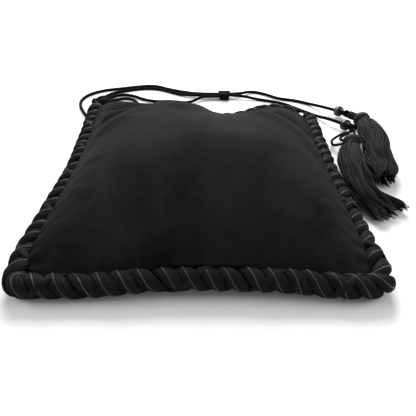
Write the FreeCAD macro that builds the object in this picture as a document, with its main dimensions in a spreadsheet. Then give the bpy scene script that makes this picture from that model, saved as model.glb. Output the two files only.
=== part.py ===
import FreeCAD, Part
import math
import os
import Sketcher

# Drawstring dice bag, millimetres. +X right, +Y towards the mouth, +Z up.
# The origin is on the table under the middle of the bag, free cords left out.

Vector = FreeCAD.Vector
doc = FreeCAD.newDocument("drawstring_dice_bag")
sheet = doc.addObject("Spreadsheet::Sheet", "Sizes")

driving_sizes = {
    "bag_width": 150.0,          # over the ropes at the front corners
    "bag_length": 160.0,         # over the front rope and the mouth rope
    "rope_diameter": 9.5,
    "corner_radius": 13.0,       # of the rope's centreline
    "side_bow": 4.0,             # how far each side pulls in at its middle
    "front_bow": 2.0,            # how far the front edge pulls in at its middle
    "belly_height": 31.0,
    "front_height": 10.0,        # height of the upper panel at the front seam
    "neck_height": 18.0,         # height of the upper panel behind the lip
    "lip_height": 16.5,          # height of the front lip at its middle
    "lip_side_height": 8.6,      # height of the casing's centre at the lip's two ends
    "lip_depth": 10.0,           # width of the front lip along Y
    "lip_side_gap": 8.0,         # from the lip's ends to the side seams
    "velvet_thickness": 1.4,
    "lining_thickness": 0.6,
    "layer_gap": 0.3,            # between one fabric layer and the next
    "rope_gap": 0.8,             # between panel edges and the rope
    "seam_level": 5.0,           # height of the side and bottom seams
    "seam_gap": 0.9,             # between the edges of the upper and lower panels
    "tape_width": 5.0,
    "tape_thickness": 0.5,
    "belly_inset": 15.0,         # the flat underside starts this far inside the edge
    "cord_diameter": 1.9,
    "casing_clearance": 0.8,     # between the drawstring and a casing's bore
    "casing_bore": "=cord_diameter + casing_clearance",
    "casing_wall": 0.5,
    "back_casing_setback": 7.0,  # from the front casing to the back one
    "back_casing_left": 34.0,
    "back_casing_right": 45.0,
    "cord_gap_left": 8.8,        # from the drawstring's way out to the mouth rope
    "bead_diameter": 7.5,
    "bead_length": 6.0,
    "bead_clearance": 0.7,       # between a strand and its bead's bore
    "bead_bore": "=cord_diameter + bead_clearance",
    "bead_height": 4.2,          # of the bead's centre above the table
    "bead_setback": 0.6,         # between a bead and its stop knot
    "stop_knot_diameter": 4.8,
    "slip_knot_length": 9.0,
    "slip_knot_width": 9.6,
    "slip_knot_height": 5.0,
    "slip_knot_clearance": 0.6,  # between a strand and its bore
    "slip_knot_bore": "=cord_diameter + slip_knot_clearance",
    "slip_knot_travel": 5.0,     # the blind bore is longer by this than the strand in it
    "strand_spacing": 2.8,       # between strands side by side in the slip knot
    "corner_knot_length": 10.0,
    "corner_knot_width": 9.0,
    "corner_knot_height": 7.0,
    "tassel_head_diameter": 10.5,
    "tassel_band_height": 3.6,
    "tassel_loop_diameter": 2.2,
    "joint_clearance": 0.3,
}
for row, (alias, value) in enumerate(driving_sizes.items(), start=1):
    sheet.set(f"A{row}", alias.replace("_", " "))
    sheet.set(f"B{row}", str(value))
    sheet.setAlias(f"B{row}", alias)
doc.recompute()


def size(alias):
    return float(getattr(sheet, alias))


pieces = []


def keep(obj, label):
    obj.Label = label
    pieces.append(obj)
    return obj


def feature(label, shape):
    obj = doc.addObject("Part::Feature", label)
    obj.Shape = shape
    obj.Placement = FreeCAD.Placement()
    return keep(obj, label)


def primitive(kind, name, **expressions):
    obj = doc.addObject(kind, name)
    for prop, expression in expressions.items():
        obj.setExpression(prop, expression)
    return obj


def put(obj, base, rotation=None):
    obj.Placement = FreeCAD.Placement(base, rotation or FreeCAD.Rotation())
    return obj


def boolean(kind, name, base, tool):
    obj = doc.addObject(kind, name)
    obj.Base = base
    obj.Tool = tool
    return obj


def along(direction):
    """The turn that lays a local Z axis along the direction."""
    return FreeCAD.Rotation(Vector(0, 0, 1), direction)


# Cords and ropes: a round section carried along straight runs and tangent arcs.

def rounded_wire(points, share=0.45, radius=None):
    """Each corner's arc takes this share of its shorter run, or has the given radius."""
    points = [Vector(*p) for p in points]
    edges, radii, last = [], [], points[0]
    for before, corner, after in zip(points, points[1:], points[2:]):
        into, out = corner - before, after - corner
        half_turn = into.getAngle(out) / 2
        if radius is None or half_turn < math.radians(20):
            cut = share * min(into.Length, out.Length)
        else:
            cut = radius * math.tan(half_turn)
        radii.append(cut / math.tan(half_turn))
        into.normalize()
        out.normalize()
        start, end = corner - into * cut, corner + out * cut
        bisector = (out - into).normalize()
        middle = corner + bisector * (radii[-1] / math.cos(half_turn) - radii[-1])
        edges.append(Part.LineSegment(last, start).toShape())
        edges.append(Part.Arc(start, middle, end).toShape())
        last = end
    edges.append(Part.LineSegment(last, points[-1]).toShape())
    return Part.Wire(edges), radii


def tube(wire, diameter):
    first = wire.Edges[0]
    start = first.valueAt(first.FirstParameter)
    direction = first.tangentAt(first.FirstParameter)
    ring = Part.Wire([Part.makeCircle(diameter / 2, start, direction)])
    return wire.makePipeShell([ring], True, False)


def cord(label, points):
    wire, radii = rounded_wire(points)
    diameter = size("cord_diameter")
    solid = tube(wire, diameter)
    filled = solid.Volume / (math.pi * diameter ** 2 / 4 * wire.Length)
    print(f"{label}: length {wire.Length:.1f}, volume over section x length {filled:.4f}, "
          f"least radius {min(radii):.1f}, radii " + ", ".join(f"{r:.0f}" for r in radii))
    return feature(label, solid)


# The plan of the bag: the rope's centreline, and the panel edges inside it.

rope = size("rope_diameter")
half_width = size("bag_width") / 2 - rope / 2       # rope centreline at the corners
front_y = -size("bag_length") / 2 + rope / 2        # centreline of the front rope
mouth_y = size("bag_length") / 2 - rope / 2         # centreline of the mouth rope
middle_y = (front_y + mouth_y) / 2
edge_inset = rope / 2 + size("rope_gap")            # rope centreline to panel edge
near_y = front_y + size("front_bow") + edge_inset   # the panels' front edge
lip_end_y = mouth_y - edge_inset
lip_start_y = lip_end_y - size("lip_depth")
casing_radius = size("casing_bore") / 2 + size("casing_wall")
front_casing_y = lip_end_y - casing_radius


def seam_x(y):
    """The rope's centreline at y: half_width at the corners, bowed in between."""
    share = (y - middle_y) / (mouth_y - middle_y)
    return half_width - size("side_bow") * (1 - abs(share))


def panel_x(y, inset=0.0):
    return seam_x(y) - edge_inset - inset


def outline(inset, level, end_y):
    """A closed outline inside the rope with its front corners cut."""
    start_y = near_y + inset
    corner = size("corner_radius") / 2
    right = [
        (panel_x(start_y, inset) - corner, start_y),
        (panel_x(start_y, inset), start_y + corner),
        (panel_x(middle_y, inset), middle_y),
        (panel_x(end_y, inset), end_y),
    ]
    ring = right + [(-x, y) for x, y in reversed(right)]
    points = [Vector(x, y, level) for x, y in ring]
    return Part.makePolygon(points + points[:1])


lower_rim = size("seam_level") - size("seam_gap") / 2
upper_rim = size("seam_level") + size("seam_gap") / 2
span = 2 * size("bag_width")


def slab_below(level):
    return Part.makeBox(span, span, span, Vector(-span / 2, -span / 2, level - span))


def belly(lift, end_y):
    """The lower half's outer form, raised by lift: flat inside, sloping up to its rim."""
    return Part.makeLoft([outline(size("belly_inset"), lift, end_y),
                          outline(0, lower_rim + lift, end_y)], True, True)


def lower_layer(lift, thickness):
    outside = belly(lift, lip_end_y)
    inside = belly(lift + thickness, lip_end_y + rope)
    return outside.cut(inside).common(slab_below(lower_rim))


def crown(y):
    """Height of the upper panel on the centre line: front seam, belly, neck."""
    top_y = middle_y - size("bag_length") / 30
    if y <= top_y:
        low, reach = size("front_height"), (top_y - y) / (top_y - near_y)
    else:
        low, reach = size("neck_height"), (y - top_y) / (lip_start_y - top_y)
    return low + (size("belly_height") - low) * math.cos(min(reach, 1.0) * math.pi / 2)


def arch(half, base, top, y):
    """A circular segment standing across the bag at y."""
    left, right = Vector(-half, y, base), Vector(half, y, base)
    arc = Part.Arc(left, Vector(0, y, top), right).toShape()
    return Part.Wire([arc, Part.LineSegment(right, left).toShape()])


def dome(offset, start_y, end_y):
    """The upper half's form, offset inwards, as a loft of arches."""
    full_y = near_y + size("corner_radius") / 2
    base = upper_rim - offset
    count = 9
    stations = [full_y + (end_y - full_y) * i / count for i in range(count + 1)]
    wires = [arch(panel_x(start_y, offset) - size("corner_radius") / 2, base,
                  crown(start_y) - offset, start_y)]
    wires += [arch(panel_x(y, offset), base, crown(y) - offset, y) for y in stations]
    return Part.makeLoft(wires, True, True)


def upper_layer(offset, thickness):
    end_y = lip_start_y - size("layer_gap")
    inner = offset + thickness
    outside = dome(offset, near_y + offset, end_y)
    inside = dome(inner, near_y + inner, end_y + rope)
    return outside.cut(inside).cut(slab_below(upper_rim))


def lip_arch(offset, y):
    """The front lip's cross-section at y, from the neck down to the casing."""
    share = (y - lip_start_y) / (front_casing_y - lip_start_y)
    half = panel_x(y, size("lip_side_gap") + offset)
    top = size("neck_height") + (size("lip_height") - size("neck_height")) * share
    return arch(half, size("lip_side_height") - offset, top - offset, y)


def lip_layer(offset, thickness):
    end_y = front_casing_y - casing_radius - size("layer_gap")
    inner = offset + thickness
    past = size("layer_gap")
    outside = Part.makeLoft([lip_arch(offset, lip_start_y), lip_arch(offset, end_y)],
                            True, True)
    inside = Part.makeLoft([lip_arch(inner, lip_start_y - past),
                            lip_arch(inner, end_y + past)], True, True)
    return outside.cut(inside).cut(slab_below(size("lip_side_height")))


velvet = size("velvet_thickness")
lining = size("lining_thickness")
second_layer = velvet + size("layer_gap")
lower_top = second_layer + lining

feature("velvet_back_panel", lower_layer(0, velvet))
feature("lining_back_panel", lower_layer(second_layer, lining))
feature("velvet_front_panel", upper_layer(0, velvet))
feature("lining_front_panel", upper_layer(second_layer, lining))
feature("velvet_front_lip", lip_layer(0, velvet))
feature("lining_front_lip", lip_layer(second_layer, lining))

# The tape that holds the rope in the seam, between the two rims.
tape_level = size("seam_level") - size("tape_thickness") / 2
tape_outer = Part.Face(outline(0, tape_level, lip_start_y))
tape_inner = Part.Face(outline(size("tape_width"), tape_level, lip_end_y))
tape_face = tape_outer.cut(tape_inner)
feature("rope_seam_tape", tape_face.extrude(Vector(0, 0, size("tape_thickness"))))

# The rope round the sides and the bottom, and the rope along the mouth.
rope_level = rope / 2
right_side = [
    (half_width, mouth_y + rope / 2, rope_level),
    (seam_x(middle_y), middle_y, rope_level),
    (half_width, front_y, rope_level),
]
rope_route = right_side + [(0, front_y + size("front_bow"), rope_level)]
rope_route += [(-x, y, z) for x, y, z in reversed(right_side)]
rope_wire, rope_radii = rounded_wire(rope_route, radius=size("corner_radius"))
feature("edge_rope", tube(rope_wire, rope))

mouth_exit_x = -47.5
mouth_rope_right = seam_x(mouth_y) - edge_inset
mouth_rope_left = mouth_exit_x + size("cord_gap_left")
mouth_rope_sketch_body = doc.addObject("PartDesign::Body", "mouth_rope_body")
mouth_plane = next(f for f in mouth_rope_sketch_body.Origin.OriginFeatures
                   if f.Role == "YZ_Plane")
mouth_sketch = mouth_rope_sketch_body.newObject("Sketcher::SketchObject", "mouth_rope_sketch")
mouth_sketch.AttachmentSupport = [(mouth_plane, "")]
mouth_sketch.MapMode = "FlatFace"
mouth_circle = mouth_sketch.addGeometry(
    Part.Circle(Vector(mouth_y, rope_level, 0), Vector(0, 0, 1), rope / 2), False)
rope_size = mouth_sketch.addConstraint(Sketcher.Constraint("Diameter", mouth_circle, rope))
mouth_sketch.setExpression(f"Constraints[{rope_size}]", "Sizes.rope_diameter")
mouth_pad = mouth_rope_sketch_body.newObject("PartDesign::Pad", "mouth_rope_pad")
mouth_pad.Profile = mouth_sketch
mouth_pad.Length = mouth_rope_right - mouth_rope_left
put(mouth_rope_sketch_body, Vector(mouth_rope_left, 0, 0))
keep(mouth_rope_sketch_body, "mouth_rope")

# The front casing: a hollow hem along the lip's arch, with the cord inside it.
lip_half = panel_x(front_casing_y, size("lip_side_gap"))
lip_rise = size("lip_height") - casing_radius - size("lip_side_height")
lip_radius = (lip_half ** 2 + lip_rise ** 2) / (2 * lip_rise)
lip_angle = math.degrees(2 * math.asin(lip_half / lip_radius))
lip_centre = Vector(0, front_casing_y, size("lip_side_height") + lip_rise - lip_radius)


def lip_ring(name, radius_expression, angle):
    """A torus sector standing across the bag, centred on the lip's arch."""
    ring = primitive("Part::Torus", name, Radius2=radius_expression)
    ring.Radius1 = lip_radius
    ring.Angle3 = angle
    stand = FreeCAD.Rotation(Vector(1, 0, 0), 90)
    start = FreeCAD.Rotation(Vector(0, 0, 1), 90 - angle / 2)
    return put(ring, lip_centre, stand.multiply(start))


front_hem = lip_ring("front_hem_outside", "Sizes.casing_bore / 2 + Sizes.casing_wall",
                     lip_angle)
front_bore = lip_ring("front_hem_bore", "Sizes.casing_bore / 2", lip_angle + 2)
keep(boolean("Part::Cut", "front_casing_cut", front_hem, front_bore), "front_casing")
keep(lip_ring("front_cord_ring", "Sizes.cord_diameter / 2", lip_angle),
     "drawstring_front_run")

# The back casing: a straight hem on the lower lining.
back_casing_y = front_casing_y - size("back_casing_setback")
back_casing_z = lower_top + size("layer_gap") + casing_radius
back_start = Vector(-size("back_casing_left"), back_casing_y, back_casing_z)
to_right = along(Vector(1, 0, 0))
back_hem = primitive("Part::Cylinder", "back_hem_outside",
                     Radius="Sizes.casing_bore / 2 + Sizes.casing_wall",
                     Height="Sizes.back_casing_left + Sizes.back_casing_right")
back_bore = primitive("Part::Cylinder", "back_hem_bore", Radius="Sizes.casing_bore / 2",
                      Height="Sizes.back_casing_left + Sizes.back_casing_right")
put(back_hem, back_start, to_right)
put(back_bore, back_start, to_right)
keep(boolean("Part::Cut", "back_casing_cut", back_hem, back_bore), "back_casing")

# The drawstring's back run: out at the left of the mouth, through the back casing,
# and round inside the right corner to the front casing's end.
turn_x = lip_half + size("lip_side_gap") * 0.6
mouth_exit = (mouth_exit_x, mouth_y + rope / 2 - 0.4, 2.6)
cord("drawstring_back_run", [
    mouth_exit,
    (-48.5, mouth_y - rope / 2, 3.8),
    (-46.0, back_casing_y, back_casing_z),
    (size("back_casing_right"), back_casing_y, back_casing_z),
    (turn_x, back_casing_y, back_casing_z + 3),
    (turn_x, front_casing_y, size("lip_side_height")),
    (lip_half + 2 * size("joint_clearance"), front_casing_y, size("lip_side_height")),
])

# The free strands lie on the table behind the bag. Each point was chosen by hand.
lie = size("cord_diameter") / 2 + 0.1
knot_level = size("slip_knot_height") / 2 + 0.1
knot_y = 115.5
knot_right = 21.0
upper_y = knot_y + size("strand_spacing")
lower_y = knot_y - size("strand_spacing")
bead_level = size("bead_height")

strand_a = [
    (-76.8, 77, lie), (-83, 86, lie), (-89.5, 98, lie), (-92, 111, lie),
    (-87, 124, lie), (-76, 132, lie), (-63, 133.5, lie), (-50, 138, lie),
    (-38, 138.5, lie), (-27, 132, lie), (-15, 126, lie), (-2, upper_y, knot_level),
    (28, upper_y, knot_level), (37, 127.5, lie), (47.5, 122.5, lie), (57, 112.5, lie),
    (68.5, 109.5, lie), (79.5, 102, lie), (86.2, 89.3, bead_level), (96.8, 80.2, bead_level),
]
strand_b = [
    (-75.4, 104.6, 3.2), (-75.5, 113.5, lie), (-69, 122, lie), (-58, 127, lie),
    (-46, 129.5, lie), (-34, 126.5, lie), (-22, 121.5, lie), (-15.5, 119.5, lie),
    (-2, knot_y, knot_level), (28, knot_y, knot_level), (41, 111.5, lie), (53, 107, lie),
    (62.3, 101, lie), (70, 91.5, lie), (79, 81.5, lie), (85.9, 69.8, bead_level),
    (95.1, 58.6, bead_level),
]
strand_c = [
    (-72.5, 105.2, 3.2), (-70.5, 113, lie), (-63.5, 121, lie), (-53, 119, lie),
    (-44, 111, lie), (-34, 107, lie), (-22, 108, lie), (-9.5, 103.8, lie),
    (1, lower_y, knot_level), (14, lower_y, knot_level),
]
strand_d = [
    mouth_exit, (-45.5, 89, lie), (-46, 100.5, lie),
    (-50, 110, lie), (-58, 114, lie), (-65.5, 109.5, lie), (-69.7, 102.5, 3.0),
]
for label, route in [("strand_a", strand_a), ("strand_b", strand_b),
                     ("strand_c", strand_c), ("strand_d", strand_d)]:
    cord(label, route)


def lump(label, centre, direction, length, width, height):
    """An ellipsoid lying along the direction; the three sizes are sheet expressions."""
    egg = primitive("Part::Ellipsoid", label + "_egg", Radius1=f"{height} / 2",
                    Radius2=f"{length} / 2", Radius3=f"{width} / 2")
    yaw = math.degrees(math.atan2(direction[1], direction[0]))
    return put(egg, centre, FreeCAD.Rotation(Vector(0, 0, 1), yaw))


corner_knot_centre = Vector(-73.2, 100.6, size("corner_knot_height") / 2 + 0.1)
keep(lump("corner_knot", corner_knot_centre, (0.2, 1), "Sizes.corner_knot_length",
          "Sizes.corner_knot_width", "Sizes.corner_knot_height"), "corner_knot")

# The slip knot slides along the strands: two through bores and a blind one.
slip_left = knot_right - size("slip_knot_length")
slip_centre = Vector(knot_right - size("slip_knot_length") / 2, knot_y, knot_level)
slip_egg = lump("slip_knot", slip_centre, (1, 0), "Sizes.slip_knot_length * 1.5",
                "Sizes.slip_knot_width * 1.15", "Sizes.slip_knot_height")
slip_block = primitive("Part::Box", "slip_knot_block", Length="Sizes.slip_knot_length",
                       Width="Sizes.slip_knot_width", Height="Sizes.slip_knot_height")
put(slip_block, Vector(slip_left, knot_y - size("slip_knot_width") / 2, 0.1))
slip_solid = boolean("Part::Common", "slip_knot_solid", slip_egg, slip_block)
slip_bores = []
bore_start = slip_left - size("slip_knot_length") / 2
for index, y in enumerate([upper_y, knot_y, lower_y]):
    bore = primitive("Part::Cylinder", f"slip_bore_{index + 1}",
                     Radius="Sizes.slip_knot_bore / 2",
                     Height="Sizes.slip_knot_length * 2")
    if y == lower_y:
        strand_end_x = strand_c[-1][0]
        bore.setExpression("Height", None)
        bore.Height = strand_end_x + size("slip_knot_travel") + 1 - bore_start
    slip_bores.append(put(bore, Vector(bore_start, y, knot_level), to_right))
slip_holes = doc.addObject("Part::MultiFuse", "slip_bores")
slip_holes.Shapes = slip_bores
keep(boolean("Part::Cut", "slip_knot_cut", slip_solid, slip_holes), "slip_knot")


# Beads, stop knots and tassels at the two strand ends.

def strand_end(points):
    end, before = Vector(*points[-1]), Vector(*points[-2])
    return end, (end - before).normalize()


def bead(number, end, direction):
    """An eight-sided bead with rounded ends, bored for the strand."""
    centre = end - direction * (size("bead_setback") + size("bead_length") / 2)
    start = centre - direction * (size("bead_length") / 2)
    turn = along(direction)
    prism = primitive("Part::Prism", f"bead_prism_{number}",
                      Circumradius="Sizes.bead_diameter / 2", Height="Sizes.bead_length")
    prism.Polygon = 8
    ball = primitive("Part::Sphere", f"bead_ball_{number}",
                     Radius="Sizes.bead_diameter * 0.56")
    hole = primitive("Part::Cylinder", f"bead_hole_{number}", Radius="Sizes.bead_bore / 2",
                     Height="Sizes.bead_length * 2")
    put(prism, start, turn)
    put(ball, centre)
    put(hole, start - direction * (size("bead_length") / 2), turn)
    body = boolean("Part::Common", f"bead_body_{number}", prism, ball)
    keep(boolean("Part::Cut", f"bead_cut_{number}", body, hole), f"bead_{number}")
    print(f"bead {number} centre {centre}, axis {direction}")


def stop_knot(number, end, direction):
    radius = size("stop_knot_diameter") / 2
    centre = end + direction * (radius - 0.4)
    ball = primitive("Part::Sphere", f"stop_ball_{number}",
                     Radius="Sizes.stop_knot_diameter / 2")
    keep(put(ball, centre), f"stop_knot_{number}")
    return centre


def ellipse_wire(centre, direction, wide, tall):
    """An upright ellipse across the direction, wide level and tall upright."""
    level = Vector(0, 0, 1).cross(direction).normalize()
    up = direction.cross(level).normalize()
    if wide >= tall:
        curve = Part.Ellipse(centre + level * wide / 2, centre + up * tall / 2, centre)
    else:
        curve = Part.Ellipse(centre + up * tall / 2, centre - level * wide / 2, centre)
    return Part.Wire([curve.toShape()])


def tassel(number, knot, head, skirt):
    """A loop from the stop knot, a wrapped head, a band and a flattened skirt."""
    head = Vector(*head)
    toward = (head - knot).normalize()
    clear = size("stop_knot_diameter") / 2 + size("joint_clearance")
    start = knot + toward * clear
    ball_radius = size("tassel_head_diameter") / 2
    loop = primitive("Part::Cylinder", f"tassel_loop_rod_{number}",
                     Radius="Sizes.tassel_loop_diameter / 2")
    loop.Height = (head - start).Length - ball_radius + 0.2
    keep(put(loop, start, along(toward)), f"tassel_loop_{number}")
    first = Vector(*skirt[0][:3])
    down = (first - head).normalize()
    ball = primitive("Part::Sphere", f"tassel_ball_{number}",
                     Radius="Sizes.tassel_head_diameter / 2")
    put(ball, head)
    cap = primitive("Part::Box", f"tassel_cap_{number}",
                    Length="Sizes.tassel_head_diameter * 2",
                    Width="Sizes.tassel_head_diameter * 2",
                    Height="Sizes.tassel_head_diameter * 2")
    across = FreeCAD.Placement(head, along(down))
    cut_at = ball_radius * 0.7
    cap.Placement = across.multiply(FreeCAD.Placement(
        Vector(-2 * ball_radius, -2 * ball_radius, cut_at), FreeCAD.Rotation()))
    keep(boolean("Part::Cut", f"tassel_head_cut_{number}", ball, cap),
         f"tassel_head_{number}")
    band = primitive("Part::Cylinder", f"tassel_band_rod_{number}",
                     Radius="Sizes.tassel_head_diameter * 0.38",
                     Height="Sizes.tassel_band_height")
    keep(put(band, head + down * cut_at, along(down)), f"tassel_band_{number}")
    top = head + down * (cut_at + size("tassel_band_height"))
    stations = [(top, size("tassel_head_diameter") * 0.9, size("tassel_head_diameter") * 0.8)]
    stations += [(Vector(x, y, z), wide, tall) for x, y, z, wide, tall in skirt]
    wires = []
    for index, (centre, wide, tall) in enumerate(stations):
        before = stations[max(index - 1, 0)][0]
        after = stations[min(index + 1, len(stations) - 1)][0]
        direction = down if index == 0 else (after - before).normalize()
        wires.append(ellipse_wire(centre, direction, wide, tall))
    feature(f"tassel_skirt_{number}", Part.makeLoft(wires, True, False))
    print(f"tassel {number}: knot {knot}, head {head}")


end_a, way_a = strand_end(strand_a)
end_b, way_b = strand_end(strand_b)
bead(1, end_a, way_a)
bead(2, end_b, way_b)
tassel(1, stop_knot(1, end_a, way_a), (104.2, 64.5, 5.8), [
    (106.0, 46, 5.9, 11, 9.5), (106.0, 30, 5.9, 12, 10.0), (104.0, 13, 5.8, 12.5, 10.0),
    (100.5, -4, 5.0, 14, 8.5),
])
tassel(2, stop_knot(2, end_b, way_b), (89.0, 34.5, 5.8), [
    (84.2, 18, 5.8, 12.5, 9.5), (82.2, 4, 5.6, 13.5, 9.5), (83.8, -10, 4.8, 14.5, 8.0),
    (89.5, -24, 3.6, 20, 6.0),
])

doc.recompute()
labels = [piece.Label for piece in pieces]
if len(set(labels)) != len(labels):
    raise SystemExit("two pieces share a label")
for obj in doc.Objects:
    if "Invalid" in obj.State or "Error" in obj.State:
        raise SystemExit(f"{obj.Name} failed: {obj.State}")
for piece in pieces:
    if piece.Shape.isNull() or not piece.Shape.isValid() or not piece.Shape.Solids:
        raise SystemExit(f"{piece.Label} has no valid shape")
os.makedirs("parts", exist_ok=True)
for piece in pieces:
    piece.Shape.exportStep(f"parts/{piece.Label}.step")
print(f"{len(pieces)} pieces written")
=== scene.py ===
import math

import bpy
import numpy as np
from mathutils import Euler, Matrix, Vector


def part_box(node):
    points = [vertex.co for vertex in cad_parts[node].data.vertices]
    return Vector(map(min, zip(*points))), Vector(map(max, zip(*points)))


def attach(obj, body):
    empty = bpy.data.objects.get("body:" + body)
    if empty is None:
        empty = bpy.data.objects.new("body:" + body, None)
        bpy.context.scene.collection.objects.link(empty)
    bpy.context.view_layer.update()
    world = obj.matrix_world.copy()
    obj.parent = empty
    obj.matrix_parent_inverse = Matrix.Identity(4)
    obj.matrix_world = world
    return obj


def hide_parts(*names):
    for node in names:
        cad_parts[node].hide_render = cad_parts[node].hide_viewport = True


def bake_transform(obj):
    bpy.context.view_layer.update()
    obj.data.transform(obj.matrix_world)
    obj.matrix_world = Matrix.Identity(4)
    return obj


# A black velvet drawstring bag with a twisted rope edge. Metres; +X right, +Y to the mouth, +Z up.

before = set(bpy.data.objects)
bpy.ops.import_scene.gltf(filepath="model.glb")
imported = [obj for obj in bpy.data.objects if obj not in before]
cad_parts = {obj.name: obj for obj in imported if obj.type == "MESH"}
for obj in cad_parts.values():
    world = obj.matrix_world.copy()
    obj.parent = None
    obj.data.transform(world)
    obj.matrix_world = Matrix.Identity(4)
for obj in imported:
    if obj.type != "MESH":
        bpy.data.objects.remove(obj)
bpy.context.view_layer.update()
mm = 0.001
tau = 2 * math.pi


# mesh helpers: arrays in, Blender objects out

def gridFaces(rows, columns, closeRows=False, closeColumns=False):
    # quads between neighbouring points of a rows x columns grid, wrapped where asked
    r = np.arange(rows if closeRows else rows - 1)
    c = np.arange(columns if closeColumns else columns - 1)
    r, c = (a.ravel() for a in np.meshgrid(r, c, indexing="ij"))
    r2, c2 = (r + 1) % rows, (c + 1) % columns
    return np.stack([r * columns + c, r2 * columns + c, r2 * columns + c2, r * columns + c2], 1)


def meshFromArrays(name, points, quads, material, tris=None, uv=None, smooth=True):
    mesh = bpy.data.meshes.new(name)
    points = np.asarray(points, np.float32).reshape(-1, 3)
    quads = np.asarray(quads, np.int32).reshape(-1, 4)
    tris = np.zeros((0, 3), np.int32) if tris is None else np.asarray(tris, np.int32)
    loops = np.concatenate([quads.ravel(), tris.ravel()])
    sizes = np.concatenate([np.full(len(quads), 4), np.full(len(tris), 3)])
    mesh.vertices.add(len(points))
    mesh.vertices.foreach_set("co", points.ravel())
    mesh.loops.add(len(loops))
    mesh.loops.foreach_set("vertex_index", loops.astype(np.int32))
    mesh.polygons.add(len(sizes))
    mesh.polygons.foreach_set("loop_start", (np.cumsum(sizes) - sizes).astype(np.int32))
    mesh.polygons.foreach_set("use_smooth", np.full(len(sizes), smooth))
    if uv is not None:
        layer = mesh.uv_layers.new(name="UVMap")
        layer.data.foreach_set("uv", np.asarray(uv, np.float32)[loops].ravel())
    mesh.update(calc_edges=True)
    mesh.validate()
    obj = bpy.data.objects.new(name, mesh)
    bpy.context.scene.collection.objects.link(obj)
    mesh.materials.append(material)
    return obj


def frames(path, up=(0, 0, 1)):
    # unit tangents, then two directions across them: the one nearest to up, and sideways
    path = np.asarray(path, float)
    tangent = np.gradient(path, axis=0)
    tangent /= np.linalg.norm(tangent, axis=1, keepdims=True)
    up = np.asarray(up, float)
    side = np.cross(tangent, up)
    side /= np.maximum(np.linalg.norm(side, axis=1, keepdims=True), 1e-9)
    return tangent, np.cross(side, tangent), side


def arcLengths(path):
    return np.concatenate([[0], np.cumsum(np.linalg.norm(np.diff(path, axis=0), axis=1))])


def resample(path, step):
    # points a near-equal step apart along the same line
    path = np.asarray(path, float)
    length = arcLengths(path)
    count = max(2, int(round(length[-1] / step)) + 1)
    at = np.linspace(0, length[-1], count)
    return np.stack([np.interp(at, length, path[:, k]) for k in range(3)], 1)


def smoothed(path, reach, step):
    # each point becomes the Gaussian mean of its neighbours within a few times reach
    span = int(3 * reach / step)
    weight = np.exp(-0.5 * (np.arange(-span, span + 1) * step / reach) ** 2)
    weight /= weight.sum()
    first = path[0] + (path[0] - path[1]) * np.arange(span, 0, -1)[:, None]
    last = path[-1] + (path[-1] - path[-2]) * np.arange(1, span + 1)[:, None]
    padded = np.concatenate([first, path, last])
    return np.stack([np.convolve(padded[:, k], weight, "valid") for k in range(3)], 1)


def tubePoints(path, radius, sides, lobes=0, lobeDepth=0.0, turns=0.0, up=(0, 0, 1)):
    # ring of `sides` points round each path point: r = radius * (1 + depth * cos(lobes * a))
    # with the angle a turning `turns` times along the whole path
    path = np.asarray(path, float)
    normal, side = frames(path, up)[1:]
    length = arcLengths(path)
    share = (length / length[-1])[:, None]
    angle = np.arange(sides)[None] * tau / sides
    radius = np.broadcast_to(np.asarray(radius, float).reshape(-1, 1), (len(path), 1))
    ring = radius * (1 + lobeDepth * np.cos(lobes * (angle - turns * tau * share)))
    return (path[:, None] + (ring * np.cos(angle))[..., None] * normal[:, None]
            + (ring * np.sin(angle))[..., None] * side[:, None]), length


def closedTube(name, points, length, material, streaks=1.0):
    # rings of points joined along the path and closed by a fan at each end; V runs from 0
    # to `streaks` round a ring
    rows, sides = points.shape[:2]
    uv = np.stack(np.broadcast_arrays(length[:, None] * 100, np.arange(sides)[None]
                                      * streaks / sides), -1).reshape(-1, 2)
    flat = np.concatenate([points.reshape(-1, 3), [points[0].mean(0), points[-1].mean(0)]])
    uv = np.concatenate([uv, [[0, 0.5], [length[-1] * 100, 0.5]]])
    a = np.arange(sides)
    b = (a + 1) % sides
    last = (rows - 1) * sides
    tris = np.concatenate([np.stack([np.full(sides, rows * sides), a, b], 1),
                           np.stack([np.full(sides, rows * sides + 1), last + b,
                                     last + a], 1)])
    return meshFromArrays(name, flat, gridFaces(rows, sides, closeColumns=True)[:, ::-1],
                          material, tris, uv)


def tubeMesh(name, path, radius, sides, material, **shape):
    points, length = tubePoints(path, radius, sides, **shape)
    return closedTube(name, points, length, material)


def gauss(d, reach):
    return np.exp(-0.5 * (d / reach) ** 2)


def smoothStep(t):
    t = np.clip(t, 0, 1)
    return t * t * (3 - 2 * t)


def spin(profile, sides, start, toward):
    # a surface of revolution: profile rows of (along, radius) turned about start -> toward
    profile = np.asarray(profile, float)
    axis = np.array(toward, float) - start
    axis /= np.linalg.norm(axis)
    across = np.cross(axis, (0, 0, 1.0))
    across /= np.linalg.norm(across)
    upward = np.cross(across, axis)
    angle = np.arange(sides) * tau / sides
    ring = np.cos(angle)[:, None] * across + np.sin(angle)[:, None] * upward
    return (np.array(start) + profile[:, :1, None] * axis
            + profile[:, 1:2, None] * ring[None])


# materials: shared node groups, then one short function per finish

def socketGroup(name, inputs, outputs):
    tree = bpy.data.node_groups.new(name, "ShaderNodeTree")
    for label, kind, value in inputs:
        socket = tree.interface.new_socket(label, in_out="INPUT", socket_type=kind)
        socket.default_value = value
    for label, kind in outputs:
        tree.interface.new_socket(label, in_out="OUTPUT", socket_type=kind)
    return tree, tree.nodes.new("NodeGroupInput"), tree.nodes.new("NodeGroupOutput")


def addNode(tree, kind, links=(), **values):
    node = tree.nodes.new(kind)
    for key, value in values.items():
        setattr(node, key, value)
    for socket, source in dict(links).items():
        if hasattr(source, "is_output"):
            tree.links.new(source, node.inputs[socket])
        else:
            node.inputs[socket].default_value = source
    return node


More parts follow.
